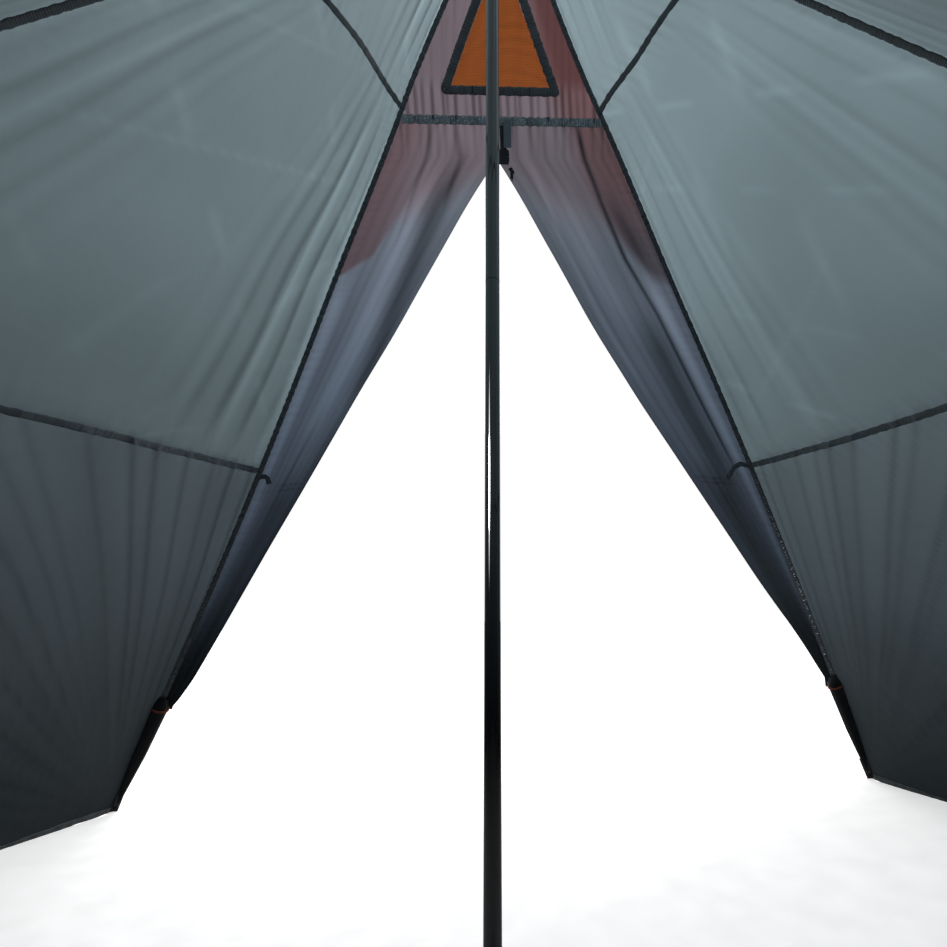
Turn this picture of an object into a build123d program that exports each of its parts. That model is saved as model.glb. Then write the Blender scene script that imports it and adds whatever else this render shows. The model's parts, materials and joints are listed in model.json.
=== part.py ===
from build123d import *
from math import atan2, cos, radians, sin
import os

os.makedirs("parts", exist_ok=True)

# Five-sided tepee tent on one centre pole, in millimetres. The origin is on the ground at the pole's
# foot, +Z is up, the doorway faces -Y and +X is to the right for somebody who looks in from outside.

# Driving dimensions: ground plan and height
door_half = 1100          # half the width of the door wall on the ground
door_dist = 800           # from the pole to the door wall on the ground
side_half = 1820          # from the pole to a side corner, across the tent
side_back = 830           # from the pole to a side corner, towards the rear
back_dist = 2000          # from the pole to the rear corner
peak = 2350               # height at which the walls would meet
lower_seam = 905          # heights of the two sewn rings
upper_seam = 1795
header_seam = 1770        # the door wall's own seam, a little under the upper ring
cloth_top = 2262          # the walls end here, under the peak cap

# Cloth, tape and hem
cloth = 2.0               # thickness of each cloth solid
seam_gap = 2.0            # each panel stops this short of its seam line
tape_wide = 22.0
tape_thick = 1.5
gap = 0.3                 # clearance between stacked layers
tape_end = 16.0           # ring tapes stop this far from a corner seam
hem_high = 22.0
hem_thick = 3.0

# Door opening
opening_top = 1680        # height at which the two door leaves part
fold_half = 910           # half the opening's width where the leaves are tied back
tie_height = 320
chain_wide = 5.0          # one half of the zip
chain_inset = 0.5         # from the opening's edge to the zip
chain_start = 25.0        # distance of the zip's open halves from the opening's top
web_inset = chain_inset + chain_wide + 1
web_foot = 330            # the standing part of a leaf ends here, at the tie
roll_start = 70.0
roll_end = 1680.0
roll_radius_top = 7.0
roll_radius_low = 11.0
roll_inset = 8.0          # the rolled leaf lies this far outside the zip's edge
roll_clear = 1.0          # and this far off the wall's outer face
tail_inset = 20.0         # the tied bundle's centre runs this far from the corner seam
tail_top = 300
tail_foot = 90
tail_radius_top = 12.0
tail_radius_foot = 8.0
tail_clear = 2.0

# Elastic tie and its toggle
loop_cord = 1.75          # radius of the elastic
loop_radius = tail_radius_top + loop_cord + 0.8
loop_drop = 14.0          # the tie lies this far below the bundle's top
toggle_radius = 4.0
toggle_long = 26.0
toggle_clear = 5.0
toggle_chamfer = 1.0

# Zip
zip_wide = 12.0           # closed zip between the header seam and the opening
zip_clear = 10.0          # it stops this far above the opening's top
slider_long = 16.0
slider_at = 38.0
slider_half = 5.0
slider_taper = 1.0
slider_deep = 4.5
slider_gap = 0.5
pull_stand = 10.0         # the pull's pivot stands this far inside the wall
pull_wide = 8.0
pull_long = 34.0
pull_thick = 1.5
pull_hole = 2.0
pull_hole_up = 5.0
pull_eye = 1.0            # metal above the pivot
tab_inset = 12.0
zip_tab_wide = 20.0
zip_tab_long = 70.0

# Vent
vent_low = 1850
vent_low_half = 135
vent_high = 2100
vent_high_half = 27
binding_wide = 12.0
hood_low = 1390
hood_arch = 1690
hood_high = 2220
hood_stand = 14.0         # the hood stands this far off the door wall
hood_shoulder = 50        # the arch's curve leans in to this half width
mesh_depth = 0.5          # the mesh lies this far inside the wall's outer face
mesh_thick = 1.0
mesh_gap = 1.0

# Peak
cap_foot = 2236
cap_top = 2342
cap_inner = 3.0
cap_outer = 5.5
pocket_radius = 20.0
pocket_wall = 2.0
pocket_foot = 2232
pocket_roof = 2256

# Pole
pole_radius = 14.0
pole_wall = 1.0
pole_joint = 1175
pole_top = 2243
pole_start = 4.0          # the tube stands on the flange of its foot plug
spigot_long = 60.0
spigot_wall = 1.0
slide_gap = 0.2           # radial clearance of pieces that slide into the tube
joint_gap = 0.3
flange_radius = 15.5
plug_long = 28.0
tip_rim = 2.0
tip_plug = 18.0
tip_dome = 6.0
tip_taper = 35.0

# Corners
webbing_wide = 25.0
webbing_thick = 2.5
tab_long = 66.0
tab_up = 70.0
tab_start = 1.0           # first stitch from the corner
tab_stand = 1.2           # the upright part stands this far off the corner seam
eyelet_at = 45.0
eyelet_bore = 5.0
eyelet_outer = 9.0
eyelet_high = 6.0
eyelet_gap = 0.2

apex = Vector(0, 0, peak)
corners = {
    "door_left": Vector(-door_half, -door_dist),
    "door_right": Vector(door_half, -door_dist),
    "right": Vector(side_half, side_back),
    "rear": Vector(0, back_dist),
    "left": Vector(-side_half, side_back),
}
walls = {
    "door": ("door_left", "door_right"),
    "right": ("door_right", "right"),
    "rear_right": ("right", "rear"),
    "rear_left": ("rear", "left"),
    "left": ("left", "door_left"),
}


def save(piece, name):
    """Labels a finished piece and writes its file."""
    piece.part.label = name
    export_step(piece.part, f"parts/{name}.step")


def hip(corner, height):
    """The point at this height on the corner seam that rises from a ground corner to the peak."""
    return corners[corner] + (apex - corners[corner]) * (height / peak)


def wall_plane(wall):
    """Outer face of a wall: local x runs along the ground, local y up the slope, local z outwards."""
    first, second = (corners[name] for name in walls[wall])
    along = second - first
    return Plane(origin=(first + second) / 2, x_dir=along, z_dir=along.cross(apex - first))


def on_wall(wall, height):
    """Local x of a wall's two corner seams at a height, and the local y of that height."""
    plane = wall_plane(wall)
    first, second = (plane.to_local_coords(hip(name, height)) for name in walls[wall])
    return first.X, second.X, first.Y


def trapezoid(wall, low, high):
    """Outline of a wall between two heights, in the wall's own coordinates."""
    low_left, low_right, low_y = on_wall(wall, low)
    high_left, high_right, high_y = on_wall(wall, high)
    return [(low_left, low_y), (low_right, low_y), (high_right, high_y), (high_left, high_y)]


def seam_normal(corner):
    """Outward direction of a corner seam, half way between its two walls."""
    normals = [wall_plane(wall).z_dir for wall, ends in walls.items() if corner in ends]
    return (normals[0] + normals[1]).normalized(), radians(normals[0].get_angle(normals[1]) / 2)


door = wall_plane("door")
slope = 1 / door.y_dir.Z                    # length up the door wall for each unit of height
opening_y = opening_top * slope
fold_angle = atan2(fold_half, (opening_top - tie_height) * slope)


def on_edge(side, along, inset, outward=0.0):
    """Local point beside a door edge: along it from the opening's top, inset to the seam's side."""
    x = along * sin(fold_angle) + inset * cos(fold_angle)
    y = opening_y - along * cos(fold_angle) + inset * sin(fold_angle)
    return Vector(side * x, y, outward)


def beside_seam(side, height, inset, outward):
    """A point of the door wall beside a corner seam, at this height."""
    across = door_half * (1 - height / peak) - inset
    return door.from_local_coords(Vector(side * across, height * slope, outward))


# Walls: three rows of panels on each of the four plain walls
rows = {
    "lower": (hem_high + seam_gap, lower_seam),
    "middle": (lower_seam, upper_seam),
    "upper": (upper_seam, cloth_top),
}
for wall in ("left", "right", "rear_left", "rear_right"):
    for row, (low, high) in rows.items():
        with BuildPart() as panel:
            with BuildSketch(wall_plane(wall)):
                Polygon(*trapezoid(wall, low, high), align=None)
                offset(amount=-seam_gap, kind=Kind.INTERSECTION, mode=Mode.REPLACE)
            extrude(amount=-cloth)
        save(panel, f"panel_{wall}_{row}")

# Hems: a folded band along the foot of each plain wall, flat on the ground
hem_clear = 3.5           # a hem stops this short of the corner seams
for wall in ("left", "right", "rear_left", "rear_right"):
    with BuildPart() as hem:
        with BuildSketch(wall_plane(wall)):
            Polygon(*trapezoid(wall, -2 * hem_clear, hem_high + hem_clear), align=None)
            offset(amount=-hem_clear, kind=Kind.INTERSECTION, mode=Mode.REPLACE)
        extrude(amount=-hem_thick)
        split(bisect_by=Plane.XY, keep=Keep.TOP)
    save(hem, f"hem_{wall}")


# Tapes: a ring tape inside each plain wall at both ring seams, and one across the door wall's header
def ring_tape(wall, height):
    """A straight tape on the inside of a wall."""
    left, right, level = on_wall(wall, height)
    with BuildPart() as tape:
        with BuildSketch(wall_plane(wall).offset(-cloth - gap)):
            with Locations(((left + right) / 2, level)):
                Rectangle(right - left - 2 * (tape_end + tape_wide / 2), tape_wide)
        extrude(amount=-tape_thick)
    return tape


for wall in ("left", "right", "rear_left", "rear_right"):
    save(ring_tape(wall, lower_seam), f"ring_tape_lower_{wall}")
    save(ring_tape(wall, upper_seam), f"ring_tape_upper_{wall}")
save(ring_tape("door", header_seam), "header_seam_tape")

# Corner seams: one long tape inside each of the five corners
seam_names = {
    "door_left": "door_seam_left",
    "door_right": "door_seam_right",
    "left": "hip_seam_left",
    "right": "hip_seam_right",
    "rear": "hip_seam_rear",
}
seam_foot = 26
seam_head = 2225
for corner, name in seam_names.items():
    outward, bend = seam_normal(corner)
    depth = tape_wide / 2 * sin(bend) / cos(bend) + hem_thick / cos(bend) + gap
    foot = hip(corner, seam_foot)
    head = hip(corner, seam_head)
    middle = (foot + head) / 2 - outward * depth
    with BuildPart() as tape:
        with BuildSketch(Plane(origin=middle, x_dir=head - foot, z_dir=outward)):
            Rectangle((head - foot).length, tape_wide)
        extrude(amount=-tape_thick)
    save(tape, name)

# Door wall above the leaves, with the hole for the vent
vent_outline = [
    (-vent_low_half, vent_low * slope),
    (vent_low_half, vent_low * slope),
    (vent_high_half, vent_high * slope),
    (-vent_high_half, vent_high * slope),
]
with BuildPart() as header:
    with BuildSketch(door):
        Polygon(*trapezoid("door", header_seam, cloth_top), align=None)
        offset(amount=-seam_gap, kind=Kind.INTERSECTION, mode=Mode.REPLACE)
        Polygon(*vent_outline, align=None, mode=Mode.SUBTRACT)
    extrude(amount=-cloth)
save(header, "door_header")

with BuildPart() as mesh:
    with BuildSketch(door.offset(-mesh_depth)):
        Polygon(*vent_outline, align=None)
        offset(amount=-mesh_gap, kind=Kind.INTERSECTION, mode=Mode.REPLACE)
    extrude(amount=-mesh_thick)
save(mesh, "vent_mesh")

with BuildPart() as binding:
    with BuildSketch(door.offset(-cloth - gap)):
        Polygon(*vent_outline, align=None)
        offset(amount=binding_wide, kind=Kind.INTERSECTION, mode=Mode.REPLACE)
        Polygon(*vent_outline, align=None, mode=Mode.SUBTRACT)
    extrude(amount=-tape_thick)
save(binding, "vent_binding")

# Rain hood outside the vent: its lower edge is an arch over the top of the opening
hood_seam = door_half * (1 - hood_low / peak) - tape_end
hood_peak = door_half * (1 - hood_high / peak) - seam_gap
hood_lift = hood_low + (hood_arch - hood_low) * 4 / 3
with BuildPart() as hood:
    with BuildSketch(door.offset(hood_stand)):
        with BuildLine():
            Bezier(
                (-hood_seam, hood_low * slope),
                (-hood_shoulder, hood_lift * slope),
                (hood_shoulder, hood_lift * slope),
                (hood_seam, hood_low * slope),
            )
            Polyline(
                (hood_seam, hood_low * slope),
                (hood_peak, hood_high * slope),
                (-hood_peak, hood_high * slope),
                (-hood_seam, hood_low * slope),
            )
        make_face()
    extrude(amount=cloth)
save(hood, "vent_hood")

# Door leaves, tied back: the cloth that stays flat, the rolled leading edge and the zip
sides = {"left": -1, "right": 1}
for name, side in sides.items():
    seam_low = door_half * (1 - web_foot / peak) - seam_gap
    seam_high = door_half * (1 - header_seam / peak) - seam_gap
    low_y = web_foot * slope
    high_y = header_seam * slope - seam_gap
    edge_low = on_edge(side, roll_end, web_inset)
    edge_top = on_edge(side, 0, web_inset)
    with BuildPart() as web:
        with BuildSketch(door):
            Polygon(
                (side * seam_gap / 2, high_y),
                (side * seam_gap / 2, edge_top.Y),
                (edge_top.X, edge_top.Y),
                (edge_low.X, edge_low.Y),
                (side * seam_low, low_y),
                (side * seam_high, high_y),
                align=None,
            )
        extrude(amount=-cloth)
    save(web, f"flap_web_{name}")

    with BuildPart() as chain:
        with BuildSketch(door):
            Polygon(
                on_edge(side, chain_start, chain_inset),
                on_edge(side, roll_end, chain_inset),
                on_edge(side, roll_end, chain_inset + chain_wide),
                on_edge(side, chain_start, chain_inset + chain_wide),
                align=None,
            )
        extrude(amount=-cloth)
    save(chain, f"zip_chain_{name}")

    start_inset = roll_inset + roll_radius_top
    end_inset = roll_inset + roll_radius_low
    start = door.from_local_coords(on_edge(side, roll_start, start_inset, roll_radius_top + roll_clear))
    end = door.from_local_coords(on_edge(side, roll_end, end_inset, roll_radius_low + roll_clear))
    with BuildPart() as roll:
        with BuildSketch(Plane(origin=start, z_dir=end - start)):
            Circle(roll_radius_top)
        with BuildSketch(Plane(origin=end, z_dir=end - start)):
            Circle(roll_radius_low)
        loft()
    save(roll, f"flap_roll_{name}")

    # The bundle below the tie runs down to the corner, outside the wall's plane
    high_point = beside_seam(side, tail_top, tail_inset, tail_radius_top + tail_clear)
    low_point = beside_seam(side, tail_foot, tail_inset, tail_radius_foot + tail_clear)
    with BuildPart() as tail:
        with BuildSketch(Plane(origin=high_point, z_dir=low_point - high_point)):
            Circle(tail_radius_top)
        with BuildSketch(Plane(origin=low_point, z_dir=low_point - high_point)):
            Circle(tail_radius_foot)
        loft()
    save(tail, f"flap_tail_{name}")

    # Elastic tie round the bundle, and the toggle that hangs from it outside the tent
    loop_centre = high_point + (low_point - high_point).normalized() * loop_drop
    with BuildPart(Plane(origin=loop_centre, z_dir=low_point - high_point)) as loop:
        Torus(loop_radius, loop_cord)
    save(loop, f"tie_loop_{name}")

    toggle_aside = loop_radius + loop_cord + toggle_radius + toggle_clear
    toggle_head = loop_centre + door.z_dir * toggle_aside
    with BuildPart() as toggle:
        with BuildSketch(Plane(origin=toggle_head)):
            Circle(toggle_radius)
        extrude(amount=-toggle_long)
        chamfer(toggle.edges().group_by(Axis.Z)[0], length=toggle_chamfer)
        chamfer(toggle.edges().group_by(Axis.Z)[-1], length=toggle_chamfer)
    save(toggle, f"tie_toggle_{name}")

# Closed length of the zip between the header seam and the top of the opening
zip_low = opening_y + zip_clear
zip_high = header_seam * slope - tape_wide / 2 - 1
with BuildPart() as closed_zip:
    with BuildSketch(door.offset(-cloth - gap)):
        with Locations((0, (zip_low + zip_high) / 2)):
            Rectangle(zip_wide, zip_high - zip_low)
    extrude(amount=-tape_thick)
save(closed_zip, "zip_upper")

# Zip slider on the left edge's inner side, and its pull, which hangs plumb
with BuildPart() as slider:
    with BuildSketch(door.offset(-cloth - slider_gap)):
        Polygon(
            on_edge(-1, slider_at - slider_long / 2, -slider_half),
            on_edge(-1, slider_at + slider_long / 2, slider_taper - slider_half),
            on_edge(-1, slider_at + slider_long / 2, slider_half - slider_taper),
            on_edge(-1, slider_at - slider_long / 2, slider_half),
            align=None,
        )
    extrude(amount=-slider_deep)
save(slider, "zip_slider")

pull_pivot = door.from_local_coords(on_edge(-1, slider_at, 0, -pull_stand))
with BuildPart() as pull:
    with BuildSketch(Plane(origin=pull_pivot, x_dir=(1, 0, 0), z_dir=(0, -1, 0))):
        with Locations((0, pull_eye - pull_long / 2)):
            RectangleRounded(pull_wide, pull_long, pull_wide / 2 - 0.5)
        with Locations((0, pull_hole_up - pull_long)):
            Circle(pull_hole, mode=Mode.SUBTRACT)
    extrude(amount=pull_thick / 2, both=True)
save(pull, "zip_pull")

# Short webbing tab that hangs from the header seam beside the zip
with BuildPart() as zip_tab:
    with BuildSketch(door.offset(-2 * (cloth + gap + tape_thick))):
        with Locations((-tab_inset, header_seam * slope - zip_tab_long / 2)):
            Rectangle(zip_tab_wide, zip_tab_long)
    extrude(amount=-tape_thick)
save(zip_tab, "zip_tab")


# Peak: the cap over the walls' ends and the pocket that holds the pole's tip
def cap_outline(height, stand):
    """The tent's plan at this height, grown by stand."""
    share = 1 - height / peak
    Polygon(*[(point.X * share, point.Y * share) for point in corners.values()], align=None)
    offset(amount=stand, kind=Kind.INTERSECTION, mode=Mode.REPLACE)


with BuildPart() as cap:
    with BuildSketch(Plane.XY.offset(cap_foot)):
        cap_outline(cap_foot, cap_outer)
    with BuildSketch(Plane.XY.offset(cap_top)):
        cap_outline(cap_top, cap_outer)
    loft()
    with BuildSketch(Plane.XY.offset(cap_foot - 1)):
        cap_outline(cap_foot - 1, cap_inner)
    with BuildSketch(Plane.XY.offset(cap_top - cap_outer)):
        cap_outline(cap_top - cap_outer, cap_inner)
    loft(mode=Mode.SUBTRACT)
save(cap, "apex_cap")

with BuildPart() as pocket:
    with BuildSketch(Plane.XY.offset(pocket_foot)):
        Circle(pocket_radius + pocket_wall)
    extrude(amount=pocket_roof - pocket_foot + pocket_wall)
    with BuildSketch(Plane.XY.offset(pocket_foot)):
        Circle(pocket_radius)
    extrude(amount=pocket_roof - pocket_foot, mode=Mode.SUBTRACT)
save(pocket, "apex_pocket")

# Pole: two tubes joined by a spigot, a flanged plug at the foot and a rounded tip
bore_radius = pole_radius - pole_wall
with BuildPart() as pole_lower:
    with BuildSketch(Plane.XY.offset(pole_start)):
        Circle(pole_radius)
        Circle(bore_radius, mode=Mode.SUBTRACT)
    extrude(amount=pole_joint - pole_start - joint_gap)
save(pole_lower, "pole_lower")

spigot_radius = bore_radius - slide_gap
spigot_bore = spigot_radius - spigot_wall
with BuildPart() as pole_upper:
    with BuildSketch(Plane.XY.offset(pole_joint)):
        Circle(pole_radius)
        Circle(spigot_bore, mode=Mode.SUBTRACT)
    extrude(amount=pole_top - pole_joint)
    with BuildSketch(Plane.XY.offset(pole_joint - spigot_long)):
        Circle(spigot_radius)
        Circle(spigot_bore, mode=Mode.SUBTRACT)
    extrude(amount=spigot_long)
save(pole_upper, "pole_upper")

with BuildPart() as foot_plug:
    with BuildSketch(Plane.XY):
        Circle(flange_radius)
    extrude(amount=pole_start - slide_gap)
    with BuildSketch(Plane.XY):
        Circle(bore_radius - slide_gap)
    extrude(amount=plug_long)
save(foot_plug, "pole_foot_plug")

tip_radius = pole_radius - 1
tip_seat = pole_top + joint_gap
with BuildPart() as tip:
    with BuildSketch(Plane.XY.offset(tip_seat)):
        Circle(tip_radius)
    extrude(amount=tip_rim)
    with BuildSketch(Plane.XY.offset(pole_top - tip_plug)):
        Circle(spigot_bore - slide_gap)
    extrude(amount=tip_seat - pole_top + tip_plug)
    with BuildSketch(Plane.XY.offset(tip_seat + tip_rim)):
        Circle(tip_radius)
    extrude(amount=tip_dome, taper=tip_taper)
save(tip, "pole_tip")

# Ground corners: a webbing tab sewn up each corner, with a metal eyelet for a peg
eyelet_centres = []
with BuildPart() as tabs:
    for corner, point in corners.items():
        outward, _ = seam_normal(corner)
        radial = point.normalized()
        eyelet_centres.append(point + radial * eyelet_at)
        with BuildSketch(Plane(origin=point + Vector(0, 0, tape_thick), x_dir=radial, z_dir=(0, 0, 1))):
            with Locations((tab_long / 2 + tab_start, 0)):
                Rectangle(tab_long, webbing_wide)
            with Locations((eyelet_at, 0)):
                Circle(eyelet_outer + eyelet_gap, mode=Mode.SUBTRACT)
        extrude(amount=webbing_thick)
        with BuildSketch(Plane(origin=point + outward * tab_stand, x_dir=apex - point, z_dir=outward)):
            with Locations((tab_up / 2 + tape_thick, 0)):
                Rectangle(tab_up, webbing_wide)
        extrude(amount=webbing_thick)
save(tabs, "corner_tabs")

with BuildPart() as eyelets:
    with BuildSketch(Plane.XY):
        with Locations(*eyelet_centres):
            Circle(eyelet_outer)
            Circle(eyelet_bore, mode=Mode.SUBTRACT)
    extrude(amount=eyelet_high)
save(eyelets, "corner_eyelets")
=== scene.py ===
import bpy
import json
import math
import numpy as np
from mathutils import Matrix, Vector

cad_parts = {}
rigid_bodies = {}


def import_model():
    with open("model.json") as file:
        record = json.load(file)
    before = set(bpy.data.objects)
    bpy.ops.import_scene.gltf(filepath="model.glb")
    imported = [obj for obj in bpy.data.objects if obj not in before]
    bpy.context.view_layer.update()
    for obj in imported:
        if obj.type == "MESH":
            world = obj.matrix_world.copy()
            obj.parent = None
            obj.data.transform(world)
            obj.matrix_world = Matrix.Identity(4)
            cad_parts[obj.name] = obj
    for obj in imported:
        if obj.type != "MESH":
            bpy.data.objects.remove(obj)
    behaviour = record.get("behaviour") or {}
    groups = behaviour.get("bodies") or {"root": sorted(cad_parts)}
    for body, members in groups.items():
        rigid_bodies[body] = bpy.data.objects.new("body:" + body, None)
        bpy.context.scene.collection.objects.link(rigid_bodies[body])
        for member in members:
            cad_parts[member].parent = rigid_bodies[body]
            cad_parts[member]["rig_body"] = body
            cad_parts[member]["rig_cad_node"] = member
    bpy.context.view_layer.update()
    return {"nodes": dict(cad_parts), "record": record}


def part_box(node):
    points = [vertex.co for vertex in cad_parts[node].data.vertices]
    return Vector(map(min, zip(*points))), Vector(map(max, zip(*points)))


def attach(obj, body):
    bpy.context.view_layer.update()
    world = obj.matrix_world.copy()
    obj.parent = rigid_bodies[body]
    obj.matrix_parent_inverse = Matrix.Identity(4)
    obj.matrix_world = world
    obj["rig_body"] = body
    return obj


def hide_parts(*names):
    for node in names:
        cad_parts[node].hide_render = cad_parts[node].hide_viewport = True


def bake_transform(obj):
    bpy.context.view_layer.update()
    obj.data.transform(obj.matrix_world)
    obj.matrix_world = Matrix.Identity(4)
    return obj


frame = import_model()

# ---------------------------------------------------------------- places, in metres, from the frame
PEAK = 2.35                                   # height at which the walls would meet
EYELET_REACH = 0.045                          # from a ground corner out to its eyelet
mounts = {m["name"]: m for m in frame["record"]["mounts"]}
joints = {j["name"]: j for j in frame["record"]["behaviour"]["joints"]}


def ground_corner(name):
    """The wall's ground corner, just inside its peg hole."""
    peg = np.array(mounts["peg_" + name]["pos_m"][:2], float)
    reach = np.linalg.norm(peg)
    return np.append(peg * (reach - EYELET_REACH) / reach, 0.0)


CORNER = {name: ground_corner(name) for name in
          ("door_left", "door_right", "side_right", "rear", "side_left")}
WALLS = {
    "left": ("side_left", "door_left"),
    "right": ("door_right", "side_right"),
    "rear_right": ("side_right", "rear"),
    "rear_left": ("rear", "side_left"),
}
APEX = np.array((0.0, 0.0, PEAK))


def middle_height(node):
    """Half way up a node's box."""
    low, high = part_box(node)
    return (low[2] + high[2]) / 2


RING_LOW = middle_height("ring_tape_lower_left")
RING_HIGH = middle_height("ring_tape_upper_left")
HEADER = middle_height("header_seam_tape")
CLOTH_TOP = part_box("panel_left_upper")[1][2]
DOOR_HALF = CORNER["door_right"][0]
DOOR_DIST = -CORNER["door_right"][1]
OPENING = np.array(joints["door_edge_left"]["pos_m"])
SIDES = {"left": -1, "right": 1}

UP_SLOPE = np.array((0.0, DOOR_DIST, PEAK)) / math.hypot(DOOR_DIST, PEAK)
DOOR_OUT = np.array((0.0, -PEAK, DOOR_DIST)) / math.hypot(DOOR_DIST, PEAK)
SLOPE = 1 / UP_SLOPE[2]
# the slide's axis runs down the left leaf's edge
EDGE_SPREAD = abs(joints["zip_slide"]["axis"][0] / joints["zip_slide"]["axis"][2])


# ---------------------------------------------------------------- shared shape functions
def smooth(x, low, high):
    """0 below low, 1 above high, with a soft step between."""
    t = np.clip((np.asarray(x, float) - low) / (high - low), 0, 1)
    return t * t * (3 - 2 * t)


def ripple(t, seed, parts=5):
    """Uneven waves about one unit long, between -1 and 1."""
    draw = np.random.default_rng(seed)
    total = np.zeros_like(np.asarray(t, float))
    for _ in range(parts):
        total += np.sin(2 * math.pi * (np.asarray(t) * draw.uniform(0.55, 1.6) + draw.uniform()))
    return total / parts ** 0.5 / 1.3


def pleats(t, seed, narrow=0.16):
    """Narrow valleys about one unit apart, each of its own strength: 0 on the flat, up to 1 in a valley."""
    t = np.asarray(t, float)
    cell = np.floor(t)
    total = np.zeros_like(t)
    for shift in (-1, 0, 1):
        index = cell + shift
        lot = np.sin(index * 12.9898 + seed * 78.233) * 43758.5453
        lot = lot - np.floor(lot)
        other = np.sin(index * 39.425 + seed * 17.117) * 24634.6345
        other = other - np.floor(other)
        centre = index + 0.2 + 0.6 * lot
        total = np.maximum(total, (0.35 + 0.65 * other) * np.exp(-((t - centre) / narrow) ** 2))
    return total


def settle(points):
    """The pitched tent isn't quite true: its door and the cloth by the upper ring lean a little left."""
    moved = np.array(points, float)
    height = moved[..., 2]
    lean = 0.0275 * np.sin(math.pi * np.clip(height, 0, 1.85) / 1.85)
    lean = lean + 0.0125 * smooth(height, 1.3, 1.8) * (1 - smooth(height, 2.1, 2.3))
    lean = lean * smooth(-moved[..., 1], -0.2, 0.15)
    back = smooth(moved[..., 1], -0.15, 0.02) * (1 - smooth(moved[..., 1], 0.35, 0.6))
    moved[..., 0] -= lean + 0.018 * back * smooth(height, 1.3, 1.75) * (1 - smooth(height, 2.05, 2.3))
    return moved


def hip(corner, height):
    """Points on a corner seam at these heights."""
    share = np.asarray(height, float)[..., None] / PEAK
    return CORNER[corner] * (1 - share) + APEX * share


def unit(vector):
    return vector / np.linalg.norm(vector, axis=-1, keepdims=True)


def wall_out(first, second):
    """Outward normal of the wall between two corners."""
    return unit(np.cross(CORNER[second] - CORNER[first], APEX - CORNER[first]))


def spread(count, crowd):
    """count numbers from 0 to 1 that stand closer together at both ends."""
    t = np.linspace(0, 1, count)
    return t - crowd * np.sin(2 * math.pi * t) / (2 * math.pi)


# ---------------------------------------------------------------- mesh helpers
def mesh_object(name, points, faces, material, coords=None, smooth_faces=True, light=None, painted_tint=None):
    """An object from points and faces, with optional coordinates (metres) as its UV map and, for thin cloth,
    the painted light and shade at each point (a share of the light let through) and the painted tint of that
    light, which the hood's painted shadow warms."""
    mesh = bpy.data.meshes.new(name)
    mesh.from_pydata([tuple(p) for p in np.asarray(points, float)], [], [tuple(f) for f in faces])
    mesh.polygons.foreach_set("use_smooth", [smooth_faces] * len(mesh.polygons))
    if coords is not None:
        layer = mesh.uv_layers.new(name="UVMap")
        corner_of = np.zeros(len(mesh.loops), int)
        mesh.loops.foreach_get("vertex_index", corner_of)
        layer.data.foreach_set("uv", np.asarray(coords, np.float32)[corner_of].ravel())
    for label, values in (("light", light), ("painted_tint", painted_tint)):
        if values is not None:
            shares = mesh.attributes.new(name=label, type="FLOAT", domain="POINT")
            shares.data.foreach_set("value", np.asarray(values, np.float32).ravel())
    mesh.update()
    made = bpy.data.objects.new(name, mesh)
    bpy.context.scene.collection.objects.link(made)
    mesh.materials.append(material)
    return made


def grid_faces(rows, columns, wrap=False):
    """Quads of a grid; wrap closes it round the columns."""
    faces = []
    across = columns if wrap else columns - 1
    for r in range(rows - 1):
        for c in range(across):
            n = (c + 1) % columns
            faces.append((r * columns + c, r * columns + n, (r + 1) * columns + n, (r + 1) * columns + c))
    return faces


def grid_object(name, points, material, coords, wrap=False, caps=False, light=None, painted_tint=None):
    """A sheet or tube from an array of rows and columns of points."""
    rows, columns = points.shape[:2]
    faces = grid_faces(rows, columns, wrap)
    if caps:
        faces.append(tuple(range(columns))[::-1])
        faces.append(tuple(range((rows - 1) * columns, rows * columns)))
    return mesh_object(name, points.reshape(-1, 3), faces, material, coords.reshape(-1, 2), light=light,
                       painted_tint=painted_tint)


def strip_object(name, path, across, out, half, thick, material, ribs=0.0, rib_long=0.006, seed=1,
                 crown=0.0, closed=False):
    """A sewn tape along a path: a solid strip, slightly crowned, with ribs across it where it is gathered.
    across and out are one direction for the whole path or one for each point."""
    across, out = (np.broadcast_to(v, path.shape) for v in (across, out))
    along = np.concatenate(([0.0], np.cumsum(np.linalg.norm(np.diff(path, axis=0), axis=1))))
    offsets = np.array((-1.0, -0.94, -0.55, 0.0, 0.55, 0.94, 1.0, 0.94, 0.0, -0.94))
    lift = np.array((0.5, 0.95, 1.0, 1.0, 1.0, 0.95, 0.5, 0.05, 0.0, 0.05))
    wave = ripple(along / rib_long, seed) * ribs
    face = np.array((0.2, 0.6, 1.0, 1.0, 1.0, 0.6, 0.2, 0, 0, 0))
    hump = np.array((0, 0.2, 0.75, 1.0, 0.75, 0.2, 0, 0, 0, 0)) * crown
    ring = []
    coords = []
    edge = 1 + 0.09 * ripple(along / (3 * rib_long), seed + 7) * (1 if ribs else 0.2)
    for k in range(len(offsets)):
        height = lift[k] * thick + wave * face[k] + hump[k]
        ring.append(path + across * (offsets[k] * half * edge)[:, None] + out * height[:, None])
        coords.append(np.stack((np.full(len(along), offsets[k]) * half, along), axis=-1))
    points = np.stack(ring, axis=1)
    coords = np.stack(coords, axis=1)
    if closed:
        points = np.concatenate((points, points[:1]))
        coords = np.concatenate((coords, coords[:1]))
    return grid_object(name, points, material, coords, wrap=True, caps=not closed)


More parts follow.
